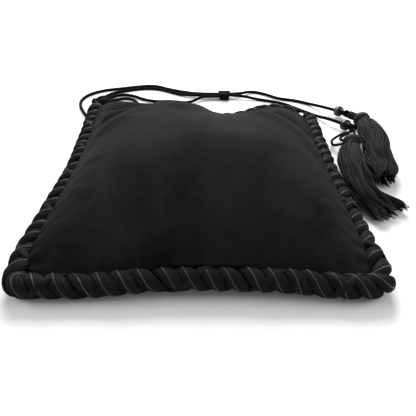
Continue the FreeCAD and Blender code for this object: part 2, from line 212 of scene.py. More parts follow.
def napGroup():
    # velvet nap: large brushed patches and fine pile, as a 0..1 patch mask and a height
    tree, given, out = socketGroup("napAndPile", [
        ("Patch Scale", "NodeSocketFloat", 42.0), ("Pile Scale", "NodeSocketFloat", 2500.0),
    ], [("Patches", "NodeSocketFloat"), ("Height", "NodeSocketFloat")])
    where = addNode(tree, "ShaderNodeTexCoord").outputs["Object"]
    stretch = addNode(tree, "ShaderNodeMapping", {"Vector": where, "Scale": (1, 0.6, 1)})
    patches = addNode(tree, "ShaderNodeTexNoise", {
        "Vector": stretch.outputs[0], "Scale": given.outputs["Patch Scale"],
        "Detail": 5.0, "Roughness": 0.62})
    ramp = addNode(tree, "ShaderNodeMapRange", {
        "Value": patches.outputs["Fac"], "From Min": 0.32, "From Max": 0.7})
    pile = addNode(tree, "ShaderNodeTexNoise", {
        "Vector": where, "Scale": given.outputs["Pile Scale"], "Detail": 2.0})
    soft = addNode(tree, "ShaderNodeMath", {0: patches.outputs["Fac"], 1: 2.6},
                   operation="MULTIPLY")
    both = addNode(tree, "ShaderNodeMath", {0: pile.outputs["Fac"], 1: soft.outputs[0]},
                   operation="ADD")
    tree.links.new(ramp.outputs[0], out.inputs["Patches"])
    tree.links.new(both.outputs[0], out.inputs["Height"])
    return tree


def fibreGroup():
    # fine fibres along a strand's own UV: streaks across V, slow change along U
    tree, given, out = socketGroup("fibres", [
        ("Along", "NodeSocketFloat", 3.0), ("Across", "NodeSocketFloat", 40.0),
    ], [("Streaks", "NodeSocketFloat")])
    uv = addNode(tree, "ShaderNodeTexCoord").outputs["UV"]
    split = addNode(tree, "ShaderNodeSeparateXYZ", {0: uv})
    u = addNode(tree, "ShaderNodeMath", {0: split.outputs[0], 1: given.outputs["Along"]},
                operation="MULTIPLY")
    v = addNode(tree, "ShaderNodeMath", {0: split.outputs[1], 1: given.outputs["Across"]},
                operation="MULTIPLY")
    point = addNode(tree, "ShaderNodeCombineXYZ", {0: u.outputs[0], 1: v.outputs[0]})
    noise = addNode(tree, "ShaderNodeTexNoise", {
        "Vector": point.outputs[0], "Scale": 1.0, "Detail": 3.0, "Roughness": 0.6})
    ramp = addNode(tree, "ShaderNodeMapRange", {
        "Value": noise.outputs["Fac"], "From Min": 0.3, "From Max": 0.72})
    tree.links.new(ramp.outputs[0], out.inputs["Streaks"])
    return tree


def newMaterial(name, **constants):
    material = bpy.data.materials.new(name)
    material.use_nodes = True
    tree = material.node_tree
    shader = tree.nodes["Principled BSDF"]
    for label, value in constants.items():
        shader.inputs[label.replace("_", " ")].default_value = value
    return material, tree, shader


def mixedColour(tree, mask, dark, light, shader):
    mix = addNode(tree, "ShaderNodeMix", {"Factor": mask}, data_type="RGBA")
    mix.inputs[6].default_value = (*dark, 1)
    mix.inputs[7].default_value = (*light, 1)
    tree.links.new(mix.outputs[2], shader.inputs["Base Color"])


def bumped(tree, height, strength, distance, shader):
    bump = addNode(tree, "ShaderNodeBump", {
        "Height": height, "Strength": strength, "Distance": distance})
    tree.links.new(bump.outputs[0], shader.inputs["Normal"])


nap = napGroup()
fibres = fibreGroup()

velvetLook = {
    "dark": (0.0044, 0.0044, 0.0045), "light": (0.0135, 0.0135, 0.0138),
    "sheen": 0.032, "sheenTint": (0.62, 0.62, 0.64, 1), "sheenRoughness": 0.4,
}


def velvetMaterial():
    material, tree, shader = newMaterial(
        "blackVelvet", Roughness=0.95, Specular_IOR_Level=0.04, Sheen_Weight=velvetLook["sheen"],
        Sheen_Roughness=velvetLook["sheenRoughness"], Sheen_Tint=velvetLook["sheenTint"])
    pattern = addNode(tree, "ShaderNodeGroup", node_tree=nap)
    mixedColour(tree, pattern.outputs["Patches"], velvetLook["dark"], velvetLook["light"],
                shader)
    bumped(tree, pattern.outputs["Height"], 0.5, 0.0006, shader)
    return material


def threadMaterial(name, dark, light, roughness, along, across, sheen=0.0, specular=0.4,
                   bump=0.0002):
    material, tree, shader = newMaterial(
        name, Specular_IOR_Level=specular, Sheen_Weight=sheen, Sheen_Roughness=0.35,
        Sheen_Tint=(0.7, 0.7, 0.72, 1))
    pattern = addNode(tree, "ShaderNodeGroup", {"Along": along, "Across": across},
                      node_tree=fibres)
    mixedColour(tree, pattern.outputs["Streaks"], dark, light, shader)
    rough = addNode(tree, "ShaderNodeMapRange", {
        "Value": pattern.outputs["Streaks"], "To Min": roughness + 0.12,
        "To Max": roughness - 0.1})
    tree.links.new(rough.outputs[0], shader.inputs["Roughness"])
    bumped(tree, pattern.outputs["Streaks"], 0.5, bump, shader)
    return material


velvet = velvetMaterial()
rope = threadMaterial("ropeYarn", (0.0038, 0.0038, 0.004), (0.0165, 0.0165, 0.017), 0.7,
                      2.0, 36.0, specular=0.05)
ropeGloss = threadMaterial("ropeGlossCord", (0.016, 0.016, 0.017), (0.042, 0.042, 0.044), 0.4,
                           1.5, 3.0, sheen=0.04, specular=0.25)
satin = threadMaterial("satinCord", (0.003, 0.003, 0.0032), (0.008, 0.008, 0.0084), 0.8,
                       3.0, 8.0, specular=0.03)
tasselSilk = threadMaterial("tasselSilk", (0.004, 0.004, 0.0042), (0.016, 0.016, 0.0165),
                            0.6, 0.6, 1.0, specular=0.06)
liningSatin = threadMaterial("liningSatin", (0.008, 0.008, 0.008), (0.016, 0.016, 0.017),
                             0.6, 2.0, 60.0, specular=0.12)
tapeCotton = threadMaterial("tapeCotton", (0.01, 0.01, 0.01), (0.025, 0.025, 0.025), 0.8,
                            8.0, 60.0)


def beadMaterial():
    material, tree, shader = newMaterial(
        "blackGlassBead", Roughness=0.2, Specular_IOR_Level=0.22, Coat_Weight=0.08,
        Coat_Roughness=0.03)
    where = addNode(tree, "ShaderNodeTexCoord").outputs["Object"]
    noise = addNode(tree, "ShaderNodeTexNoise", {"Vector": where, "Scale": 400.0})
    mixedColour(tree, noise.outputs["Fac"], (0.003, 0.003, 0.003), (0.008, 0.008, 0.009),
                shader)
    return material


beadGlass = beadMaterial()
print("materials ready")


def finished(piece, body, slot, *nodes):
    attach(piece, body)
    if nodes:
        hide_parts(*nodes)
    return piece


# the bag's plan, from the frame's own boxes

ropeLow, ropeHigh = (np.array(p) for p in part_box("edge_rope"))
mouthLow, mouthHigh = (np.array(p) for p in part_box("mouth_rope"))
hemHigh = np.array(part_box("front_casing")[1])
upperHigh = np.array(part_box("velvet_front_panel")[1])
ropeRadius = (ropeHigh[2] - ropeLow[2]) / 2
ropeLevel = ropeRadius + 0.4 * mm       # its ribs and gloss cords stand off the table

bag = {
    "frontY": ropeLow[1] + ropeRadius - 1.3 * mm,
    "mouthY": (mouthLow[1] + mouthHigh[1]) / 2,
    "halfWidth": ropeHigh[0] - ropeRadius,
    "leftBow": 4.2 * mm,          # how far each side pulls in
    "rightBow": 2.6 * mm,
    "leftNear": 2.6 * mm,         # the near left corner stands in by this
    "frontBow": 2.6 * mm,
    "frontLift": 1.8 * mm,        # the middle of the front rope stands off the table
    "sideLift": 1.0 * mm,
    "leftMouthLift": 4.0 * mm,    # the knotted corner stands higher
    "leftMouthReach": 3.0 * mm,   # and reaches further than the right one
    "rightMouthReach": -5.5 * mm,
    "mouthDip": 6.5 * mm,         # the mouth's edge sags inwards right of its middle
    "cornerReach": 3.6 * mm,      # smoothing that rounds the corners
    "seam": 5.0 * mm,
    "rim": 2.4 * mm,              # from the rope's middle to the panels' edge
}


def share(y):
    return np.clip((y - bag["frontY"]) / (bag["mouthY"] - bag["frontY"]), 0, 1.05)


def sideX(y, left):
    # the rope's line on one side: full at both corners, bowed in as sin between them
    bow = np.where(left, bag["leftBow"], bag["rightBow"])
    near = np.where(left, bag["leftNear"], 0) * gauss(y - bag["frontY"], 8 * mm)
    return bag["halfWidth"] - near - bow * np.sin(np.pi * np.clip(share(y), 0, 1)) ** 1.7


def mouthShift(x):
    # the mouth's line runs slantwise, and sags inwards right of the middle
    part = np.clip((x / bag["halfWidth"] + 1) / 2, 0, 1)
    slant = bag["leftMouthReach"] * (1 - part) + bag["rightMouthReach"] * part
    return slant - bag["mouthDip"] * gauss(x - 14 * mm, 15 * mm)


def frontArch(x):
    # 1 just right of the front edge's middle and 0 from 50 mm either side of that
    return np.clip(1 - ((x - 5 * mm) / (50 * mm)) ** 2, 0, 1) ** 1.2


def seamLift(x, y):
    # how far the seam stands above its level: front middle, sides, knotted corner
    inFront = gauss(y - bag["frontY"], 16 * mm) * frontArch(x) * bag["frontLift"]
    t = share(y)
    side = bag["sideLift"] * np.sin(np.pi * np.clip(t, 0, 1)) ** 2
    corner = bag["leftMouthLift"] * np.clip(-x / bag["halfWidth"], 0, 1) ** 3 * t ** 5
    return inFront + side * (np.abs(x) / bag["halfWidth"]) ** 4 + corner


def ropeLine(step=0.5 * mm):
    # left mouth corner, down the left side, along the front, up the right side
    t = np.linspace(1, 0, 120)
    span = bag["mouthY"] - bag["frontY"]
    sides = []
    for left, sign in ((True, -1), (False, 1)):
        y = bag["frontY"] + t * span
        x = sign * sideX(y, left)
        far = y + mouthShift(sign * bag["halfWidth"]) * t ** 2 + 2 * mm * t ** 8
        sides.append(np.stack([x, far, ropeLevel + seamLift(x, y)], 1))
    x = np.linspace(-1, 1, 120)[1:-1] * bag["halfWidth"]
    y = bag["frontY"] + bag["frontBow"] * frontArch(x)
    front = np.stack([x, y, ropeLevel + seamLift(x, bag["frontY"] + 0 * x)], 1)
    line = resample(np.concatenate([sides[0], front, sides[1][::-1]]), step)
    return resample(smoothed(line, bag["cornerReach"], step), step)


def mouthLine(step=0.5 * mm):
    # the same rope along the far lip, from the right corner to the drawstring's gap
    x = np.linspace(bag["halfWidth"] - ropeRadius * 1.2, mouthLow[0] + 4 * mm, 60)
    y = bag["mouthY"] + mouthShift(x) - 1.5 * mm
    wave = 2.6 * mm * gauss(x + 22 * mm, 14 * mm) + 5.0 * mm * gauss(x - 46 * mm, 13 * mm)
    return resample(np.stack([x, y, ropeLevel + wave], 1), step)


# the twisted rope: two broad ribbed bands wound side by side, a fine gloss cord
# along each, and one narrow band wound the other way over them

twist = {
    "pitch": 15.7 * mm,           # one full turn of a band
    "bands": 2,
    "woundAt": 2.7 * mm,          # from the rope's middle to a band's middle
    "halfThick": 2.05 * mm,
    "halfWide": 3.0 * mm,
    "yarns": 20,                  # ribs round one band
    "yarnDepth": 0.055,
    "glossRadius": 0.34 * mm,
    "glossAt": 4.6 * mm,
    "glossLag": 0.3,              # radians from a band's crest to the cord beside it
    "counterPitch": 28 * mm,
    "counterAt": 4.25 * mm,
    "counterThick": 0.6 * mm,
    "counterWide": 1.3 * mm,
}


def windRound(line, phase, distance, pitch, slack=1.0):
    # the line moved out by distance along cos a up + sin a sideways, a = tau * s / pitch
    normal, side = frames(line)[1:]
    s = arcLengths(line)
    wander = slack * (0.2 * np.sin(s * 190 + 1.3) + 0.13 * np.sin(s * 417 + 4.0))
    angle = (tau * s / pitch + phase + wander)[:, None]
    swell = distance * (1 + 0.04 * slack * np.sin(s * 530 + phase))[:, None]
    outward = np.cos(angle) * normal + np.sin(angle) * side
    return line + swell * outward, outward


def taper(count, over=12):
    ends = np.minimum(np.arange(count), np.arange(count)[::-1]) / over
    return np.sqrt(np.clip(ends, 0.03, 1))


def bandMesh(name, line, phase, distance, pitch, thick, wide, ribs, depth, sides):
    # ring: thick * cos a outward + wide * sin a across, both times 1 + depth * cos(ribs * a)
    path, outward = windRound(line, phase, distance, pitch)
    across = np.cross(np.gradient(path, axis=0), outward)
    across /= np.linalg.norm(across, axis=1, keepdims=True)
    angle = np.arange(sides) * tau / sides
    ring = (1 + depth * np.cos(ribs * angle)) * taper(len(path))[:, None]
    points = (path[:, None] + (thick * ring * np.cos(angle))[..., None] * outward[:, None]
              + (wide * ring * np.sin(angle))[..., None] * across[:, None])
    return closedTube(name, points, arcLengths(path), rope)


def twistedRope(name, line, replaced):
    made = []
    for band in range(twist["bands"]):
        phase = tau * band / twist["bands"]
        made.append(bandMesh(f"{name}Band{band + 1}", line, phase, twist["woundAt"],
                             twist["pitch"], twist["halfThick"], twist["halfWide"],
                             twist["yarns"], twist["yarnDepth"], 84))
        path = windRound(line, phase + twist["glossLag"], twist["glossAt"],
                         twist["pitch"])[0]
        made.append(tubeMesh(f"{name}Gloss{band + 1}", path,
                             twist["glossRadius"] * taper(len(path)), 8, ropeGloss))
    made.append(bandMesh(f"{name}Counter", line, 0.4, twist["counterAt"],
                         -twist["counterPitch"], twist["counterThick"],
                         twist["counterWide"], 10, twist["yarnDepth"], 40))
    for piece in made:
        finished(piece, "bag", "rope")
    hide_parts(*replaced)


twistedRope("edgeRope", ropeLine(), ["edge_rope"])
twistedRope("mouthRope", mouthLine(), ["mouth_rope"])
print("ropes ready")


# the velvet and lining, drawn as heights over the plan

panel = {
    "cells": 150,                 # across and along
    "runCells": 60,               # the same for the cloth run
    "middleX": 56 * mm,           # the lip moves between these; beyond them the far corners are pieces of their own
    "foldY": 38 * mm,
    "belly": upperHigh[2],
    "bellyY": -8 * mm,
    "nearY": bag["frontY"] + bag["rim"],
    "velvet": 1.2 * mm,
    "lining": 0.6 * mm,
    "liningInset": 2.3 * mm,
}


def lipTop(x):
    # height of the front lip's edge: raised left of the middle and near both ends
    return (9.0 * mm + 4.4 * mm * gauss(x + 18 * mm, 17 * mm)
            - 1.8 * mm * gauss(x - 14 * mm, 12 * mm)
            + 4.5 * mm * gauss(x - 52 * mm, 15 * mm) + 5.6 * mm * gauss(x + 56 * mm, 16 * mm))


def folds(x, y):
    # soft ridges and hollows, most of them by the mouth's corners: each falls away from a
    # line on the plan as a Gaussian
    def ridge(x0, y0, x1, y1, width, height):
        dx, dy = x1 - x0, y1 - y0
        t = np.clip(((x - x0) * dx + (y - y0) * dy) / (dx * dx + dy * dy), 0, 1)
        far = np.hypot(x - x0 - t * dx, y - y0 - t * dy)
        return height * gauss(far, width)
    total = ridge(-58 * mm, 10 * mm, -24 * mm, 50 * mm, 4.5 * mm, 1.9 * mm)
    total += ridge(-52 * mm, 34 * mm, -34 * mm, 47 * mm, 4 * mm, -3.0 * mm)
    total += ridge(-60 * mm, 34 * mm, -46 * mm, 50 * mm, 4 * mm, 1.8 * mm)
    total += ridge(-50 * mm, -12 * mm, -46 * mm, 20 * mm, 6 * mm, 0.9 * mm)
    total += ridge(-14 * mm, 46 * mm, -2 * mm, 56 * mm, 6 * mm, 2.8 * mm)
    total += ridge(-48 * mm, 56 * mm, -42 * mm, 62 * mm, 8 * mm, -4.0 * mm)
    total += ridge(36 * mm, 42 * mm, 61 * mm, 4 * mm, 4 * mm, 2.2 * mm)
    total += ridge(48 * mm, 42 * mm, 62 * mm, 24 * mm, 4.5 * mm, -2.4 * mm)
    total += ridge(10 * mm, 52 * mm, 30 * mm, 52 * mm, 8 * mm, -1.0 * mm)
    return total


def planGrid(cells, inset=0.0, farY=None):
    # x, y over the bag: columns are straight to middleX and then run out to the rim
    s = np.linspace(-1, 1, cells + 1)[None]
    t = np.linspace(0, 1, cells + 1)[:, None]
    t = t - 0.06 * np.sin(t * tau)                  # rows stand closer at both ends
    near = panel["nearY"] + inset
    y = near + t * (farY - near)
    rim = sideX(y + 0 * s, s < 0) - bag["rim"] - inset
    rim = rim - 4 * mm * gauss(y - near, 4 * mm)    # the front corners are rounded
    split = 13 / 15                                 # a grid line in both grids
    out = np.clip((np.abs(s) - split) / (1 - split), 0, 1)
    edge = panel["middleX"] * np.minimum(1, rim / (panel["middleX"] + 4 * mm))
    x = np.where(np.abs(s) <= split, s / split * edge, np.sign(s) * (edge + out * (rim - edge)))
    bend = bag["frontBow"] * frontArch(x) * (1 - t) ** 4
    return x, y + bend + mouthShift(x) * np.clip(t, 0, 1) ** 2.5, t, rim


def upperPoints(cells, inset=0.0):
    # z = seam + crown(y) * (1 - |x / rim|^p)^q + folds, with small puckers along the seam
    x, y, t, rim = planGrid(cells, inset, hemHigh[1] - 1.2 * mm)
    across = np.clip(np.abs(x) / rim, 0, 1)
    rise = np.clip((y - panel["nearY"]) / (panel["bellyY"] - panel["nearY"]), 0, 1)
    fall = np.clip((y - panel["bellyY"]) / (hemHigh[1] - panel["bellyY"]), 0, 1)
    top = lipTop(x)
    steep = 1.9 - 0.6 * gauss(x - 18 * mm, 22 * mm)
    crown = np.where(y < panel["bellyY"],
                     (panel["belly"] - bag["seam"]) * np.sin(rise * np.pi / 2) ** 0.66,
                     panel["belly"] - bag["seam"] - (panel["belly"] - top) * fall ** steep)
    square = 2.9 - 0.5 * t + (7 * np.clip(-x / rim, 0, 1) + 3 * np.clip(x / rim, 0, 1)) * t ** 6
    dome = np.clip(1 - across ** square, 0, 1) ** (0.6 + 0.12 * t)
    edgeFade = np.clip((1 - across) * 5, 0, 1) * np.clip((1 - fall) * 6, 0.15, 1)
    pucker = 0.55 * mm * np.sin(y * 780 + 2 * np.sin(y * 90)) * gauss(rim - np.abs(x), 4 * mm)
    pucker = pucker + 0.5 * mm * np.sin(x * 790) * gauss(y - panel["nearY"], 5 * mm)
    base = bag["seam"] + seamLift(x, y)
    z = base + (crown - inset) * dome + folds(x, y) * edgeFade
    z = z + pucker * np.clip(dome * 4, 0, 1)
    return np.stack([x, y, np.maximum(z, base)], -1)


def buckles(points, pressure=4.0, cap=5 * mm, kept=0.45):
    # how far a short cloth run under light pressure, pinned along every edge, moves each
    # point: no further than the cap, and only a share of it is kept
    rows, columns = points.shape[:2]
    obj = meshFromArrays("clothRun", points, gridFaces(rows, columns)[:, ::-1], velvet)
    index = np.arange(rows * columns).reshape(rows, columns)
    pinned = np.unique(np.concatenate([index[:2].ravel(), index[-2:].ravel(),
                                       index[:, :2].ravel(), index[:, -2:].ravel()]))
    group = obj.vertex_groups.new(name="pinned")
    group.add(pinned.tolist(), 1.0, "REPLACE")
    cloth = obj.modifiers.new("cloth", "CLOTH")
    cloth.settings.vertex_group_mass = "pinned"
    cloth.settings.effector_weights.gravity = 0
    cloth.settings.use_pressure = True
    cloth.settings.uniform_pressure_force = pressure
    cloth.settings.quality = 6
    cloth.settings.bending_stiffness = 0.6
    cloth.settings.shrink_min = -0.012
    cloth.collision_settings.use_collision = False
    cloth.point_cache.frame_start = 1
    cloth.point_cache.frame_end = 20
    scene = bpy.context.scene
    for frameNumber in range(1, 21):
        scene.frame_set(frameNumber)
    shown = obj.evaluated_get(bpy.context.evaluated_depsgraph_get())
    moved = np.zeros(rows * columns * 3)
    shown.data.vertices.foreach_get("co", moved)
    scene.frame_set(1)
    mesh = obj.data
    bpy.data.objects.remove(obj)
    bpy.data.meshes.remove(mesh)
    shift = moved.reshape(rows, columns, 3) - points
    far = np.linalg.norm(shift, axis=-1, keepdims=True)
    return shift * np.minimum(1, cap / np.maximum(far, 1e-9)) * kept


def stretched(field, count):
    # the field at `count` places along its first axis, by Catmull-Rom between its rows
    at = np.linspace(0, len(field) - 1, count)
    i = np.minimum(at.astype(int), len(field) - 2)
    f = (at - i)[:, None, None]
    before, start, end, after = (field[np.clip(i + k, 0, len(field) - 1)]
                                 for k in (-1, 0, 1, 2))
    return start + 0.5 * f * (end - before + f * (
        2 * before - 5 * start + 4 * end - after + f * (3 * (start - end) + after - before)))


def clothPiece(name, points, keep, material, thickness):
    # the cells that `keep` marks, as a closed sheet: the points, the same points moved up
    # their normals by the thickness, and a wall along every open edge
    rows, columns = points.shape[:2]
    normal = np.cross(np.gradient(points, axis=1), np.gradient(points, axis=0))
    normal /= np.linalg.norm(normal, axis=-1, keepdims=True)
    both = np.concatenate([points + normal * thickness, points]).reshape(-1, 3)
    quads = gridFaces(rows, columns)[:, ::-1][keep.ravel()]
    edges = np.concatenate([quads[:, [k, (k + 1) % 4]] for k in range(4)])
    code = edges.min(1) * rows * columns + edges.max(1)
    first, count = np.unique(code, return_index=True, return_counts=True)[1:]
    rim = edges[first[count == 1]]
    under = rows * columns
    walls = np.stack([rim[:, 1], rim[:, 0], rim[:, 0] + under, rim[:, 1] + under], 1)
    used, faces = np.unique(np.concatenate([quads, quads[:, ::-1] + under, walls]),
                            return_inverse=True)
    v, u = np.divmod(used % under, columns)
    return meshFromArrays(name, both[used], faces.reshape(-1, 4), material,
                          uv=np.stack([u / columns, v / rows], 1))


def upperCloth(name, inset, material, thickness, corners):
    # the lining moves with the velvet, so that it stays under it
    points = upperPoints(panel["cells"], inset) + bulge
    cellX = (points[:-1, :-1, 0] + points[1:, 1:, 0]) / 2
    cellY = np.maximum(points[:-1, :-1, 1], points[:-1, 1:, 1])
    atCorner = (np.abs(cellX) > panel["middleX"]) & (cellY > panel["foldY"])
    made = [clothPiece(name, points, ~atCorner, material, thickness)]
    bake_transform(made[0])
    if corners:
        for label, sign in (("Left", -1), ("Right", 1)):
            piece = clothPiece(name + "Corner" + label, points,
                               atCorner & (np.sign(cellX) == sign), material, thickness)
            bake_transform(piece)
            made.append(piece)
    return made


def lowerPoints(cells, lift, farY):
    # flat on the table inside and curving up to the seam: z = (seam - gap) * edge^p
    x, y, _, rim = planGrid(cells, lift * 0.8, farY)
    across = np.clip(np.abs(x) / rim, 0, 1)
    edge = np.maximum(across ** 7, gauss(y - panel["nearY"], 5 * mm))
    z = (bag["seam"] - 1.2 * mm) * edge + seamLift(x, y) * np.clip(edge, 0, 1)
    return np.stack([x, y, z + lift + 0.15 * mm], -1)


everywhere = np.ones((panel["cells"], panel["cells"]), bool)
drawn = upperPoints(panel["runCells"])
bulge = buckles(drawn)
for turn in range(2):                 # from the run's grid to the finer one, both ways
    bulge = stretched(bulge, panel["cells"] + 1).swapaxes(0, 1)
print("cloth run moved up to", round(float(np.linalg.norm(bulge, axis=-1).max()) / mm, 2), "mm")
velvetUpper = upperCloth("velvetUpper", 0.0, velvet, panel["velvet"], True)
liningUpper = upperCloth("liningUpper", panel["liningInset"], liningSatin, panel["lining"],
                         False)
velvetLower = clothPiece("velvetLower", lowerPoints(panel["cells"], 0.0, 71 * mm),
                         everywhere, velvet, panel["velvet"] * 0.9)
liningLower = clothPiece("liningLower", lowerPoints(panel["cells"], 1.7 * mm, 70 * mm),
                         everywhere, liningSatin, panel["lining"])
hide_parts("velvet_front_panel", "velvet_front_lip")
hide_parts("lining_front_panel", "lining_front_lip")
finished(velvetLower, "bag", "velvet", "velvet_back_panel")
finished(liningLower, "bag", "lining", "lining_back_panel")
print("panels ready")


# hems, the drawstring inside them, and the tape in the seam

def lipEdge(drop):
    # a line along the front lip's edge, below its top by drop
    x = np.linspace(-panel["middleX"], panel["middleX"], 120)
    across = np.abs(x) / (bag["halfWidth"] - bag["rim"])
    dome = np.clip(1 - across ** 2.4, 0, 1) ** 0.72
    y = hemHigh[1] - 1.2 * mm + mouthShift(x)
    z = bag["seam"] + seamLift(x, y) + (lipTop(x) - bag["seam"]) * dome - drop
    return resample(np.stack([x, y, z], 1), 0.8 * mm)


hemLine = lipEdge(1.6 * mm)
gathers = 1 + 0.07 * np.sin(arcLengths(hemLine) * 900) + 0.04 * np.sin(
    arcLengths(hemLine) * 2100 + 1)
finished(tubeMesh("frontHem", hemLine, 1.8 * mm * gathers, 20, velvet), "front_lip",
         "velvet", "front_casing")

cordSize = {"diameter": 2.1 * mm, "lobes": 3, "lobeDepth": 0.09, "turnLength": 6.5 * mm}


def cordMesh(name, line):
    length = arcLengths(line)[-1]
    return tubeMesh(name, line, cordSize["diameter"] / 2, 18, satin,
                    lobes=cordSize["lobes"], lobeDepth=cordSize["lobeDepth"],
                    turns=length / cordSize["turnLength"])


finished(cordMesh("frontDrawstring", hemLine), "front_lip", "cord", "drawstring_front_run")

backLow, backHigh = (np.array(p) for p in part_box("back_casing"))
backY, backZ = (backLow[1] + backHigh[1]) / 2, (backLow[2] + backHigh[2]) / 2
backLine = np.linspace((backLow[0], backY, backZ), (backHigh[0], backY, backZ), 100)
finished(tubeMesh("backHem", backLine, 1.75 * mm * (1 + 0.06 * np.sin(
    arcLengths(backLine) * 950)), 18, liningSatin), "bag", "lining", "back_casing")


def seamTape():
    # a flat band just inside the rope, from the rim inwards by its width
    line = ropeLine(1.5 * mm)
    inward = frames(line)[2]
    towards = np.sign(np.sum(inward * (np.array([0, 0, 0]) - line), axis=1, keepdims=True))
    width = 4.5 * mm
    keep = line[:, 1] < 58 * mm             # the tape ends short of the mouth
    line, inward = line[keep], (inward * towards)[keep]
    across = np.linspace(bag["rim"], bag["rim"] + width, 4)[None, :, None]
    points = line[:, None] + inward[:, None] * across
    points[..., 2] += bag["seam"] - ropeRadius - 0.3 * mm
    obj = meshFromArrays("seamTape", points, gridFaces(len(line), 4), tapeCotton)
    thick = obj.modifiers.new("thickness", "SOLIDIFY")
    thick.thickness = 0.4 * mm
    thick.offset = 0
    return finished(obj, "bag", "tape", "rope_seam_tape")


seamTape()
print("hems ready")


# free cords: listed points, as in the frame's source

lie, knotLevel, beadLevel = 1.05, 2.6, 4.2
knotY = 115.5
upperY, lowerY = knotY + 2.5, knotY - 2.5
mouthExit = (-47.5, 79.6, 2.6)

routes = {
    "strandA": [
        (-71.5, 70.5, lie), (-76.8, 77, lie), (-82, 86, lie), (-88, 98, lie),
        (-90.5, 110, lie), (-86.5, 122, lie), (-76, 130, lie), (-63, 133.5, lie),
        (-50, 138, lie), (-38, 139.5, lie), (-27, 132, lie), (-15, 126, lie),
        (-2, upperY, knotLevel), (28, upperY, knotLevel), (37, 127.5, lie),
        (47.5, 122.5, lie), (57, 112.5, lie), (68.5, 109.5, lie), (79.5, 102, lie),
        (86.2, 89.3, beadLevel), (96.8, 80.2, beadLevel),
    ],
    "strandB": [
        (-75.4, 104.6, 3.2), (-75.5, 113.5, lie), (-69, 124, lie), (-58, 129.5, lie),
        (-46, 133.5, lie), (-34, 132.5, lie), (-22, 124, lie), (-15.5, 120, lie),
        (-2, knotY, knotLevel), (28, knotY, knotLevel), (41, 111.5, lie), (53, 107, lie),
        (62.3, 101, lie), (70, 91.5, lie), (79, 81.5, lie), (85.9, 69.8, beadLevel),
        (95.1, 58.6, beadLevel),
    ],
    "strandC": [
        (-72.5, 105.2, 3.2), (-70.5, 113, lie), (-63.5, 121, lie), (-53, 119, lie),
        (-44, 111, lie), (-34, 107, lie), (-22, 108, lie), (-9.5, 103.8, lie),
        (0, lowerY, knotLevel), (4, lowerY, knotLevel), (14, lowerY, knotLevel),
    ],
    "strandD": [
        mouthExit, (-45.5, 89, lie), (-46, 100.5, lie), (-50, 110, lie), (-58, 114, lie),
        (-65.5, 109.5, lie), (-69.7, 102.5, 3.0),
    ],
}


def routeLine(name, points):
    # the route's smooth line: a NURBS spline of order 3 with the points as its controls
    curve = bpy.data.curves.new(name + "Route", "CURVE")
    curve.dimensions = "3D"
    spline = curve.splines.new("NURBS")
    spline.points.add(len(points) - 1)
    spline.points.foreach_set("co", [v for x, y, z in points
                                     for v in (x * mm, y * mm, z * mm, 1)])
    spline.order_u = 3
    spline.use_endpoint_u = True
    spline.resolution_u = 24
    holder = bpy.data.objects.new(name + "Route", curve)
    mesh = bpy.data.meshes.new_from_object(holder)
    line = np.zeros(len(mesh.vertices) * 3)
    mesh.vertices.foreach_get("co", line)
    bpy.data.objects.remove(holder)
    bpy.data.curves.remove(curve)
    bpy.data.meshes.remove(mesh)
    return resample(line.reshape(-1, 3), 0.6 * mm)


lines = {name: routeLine(name, points) for name, points in routes.items()}
cords = {name: cordMesh(name, line) for name, line in lines.items()}
for name, obj in cords.items():
    finished(obj, "bag", "cord", "strand_" + name[-1].lower())

turnX = panel["middleX"] + 5 * mm
backRoute = [mouthExit, (-48.5, 70.5, 3.8), (-46, backY / mm, backZ / mm),
             (45, backY / mm, backZ / mm), (turnX / mm, backY / mm, backZ / mm + 3),
             (turnX / mm, hemHigh[1] / mm - 5.5, 7.6), (57.2, hemHigh[1] / mm - 3, 7.2)]
backCord = cordMesh("backDrawstring", routeLine("backDrawstring", backRoute))
finished(backCord, "bag", "cord", "drawstring_back_run")
print("cords ready:", {name: round(arcLengths(line)[-1], 4) for name, line in lines.items()})


# knots: an overhand knot's line, x = sin t + 2 sin 2t, y = cos t - 2 cos 2t, z = -sin 3t

def knotMesh(name, centre, sizes, thickness, yaw, material):
    t = np.linspace(0, tau, 140)
    x, y, z = np.sin(t) + 2 * np.sin(2 * t), np.cos(t) - 2 * np.cos(2 * t), -np.sin(3 * t)
    reach = [s / 2 - thickness / 2 for s in sizes]
    x, y, z = x / 3 * reach[0], y / 3 * reach[1], z * reach[2]
    turned = np.stack([x * np.cos(yaw) - y * np.sin(yaw),
                       x * np.sin(yaw) + y * np.cos(yaw), z], 1)
    return tubeMesh(name, turned + np.array(centre), thickness / 2, 16, material,
                    lobes=3, lobeDepth=0.09, turns=5)


def middle(node):
    low, high = (np.array(p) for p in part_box(node))
    return (low + high) / 2


cornerKnot = finished(
    knotMesh("cornerKnot", middle("corner_knot"), (13.5 * mm, 12 * mm, 6.6 * mm), 4.4 * mm,
             0.5, satin), "bag", "cord", "corner_knot")
stopKnots = [finished(
    knotMesh(f"stopKnot{n}", middle(f"stop_knot_{n}"), (5.6 * mm, 5.2 * mm, 4.4 * mm),
             2.1 * mm, 0.4 * n, satin), "bag", "cord", f"stop_knot_{n}") for n in (1, 2)]


slipKnotWrap = {
    "turns": 6.2,
    "across": 4.35 * mm,          # from the knot's middle to the cord's, sideways
    "up": 1.95 * mm,
    "radius": 0.64 * mm,
}


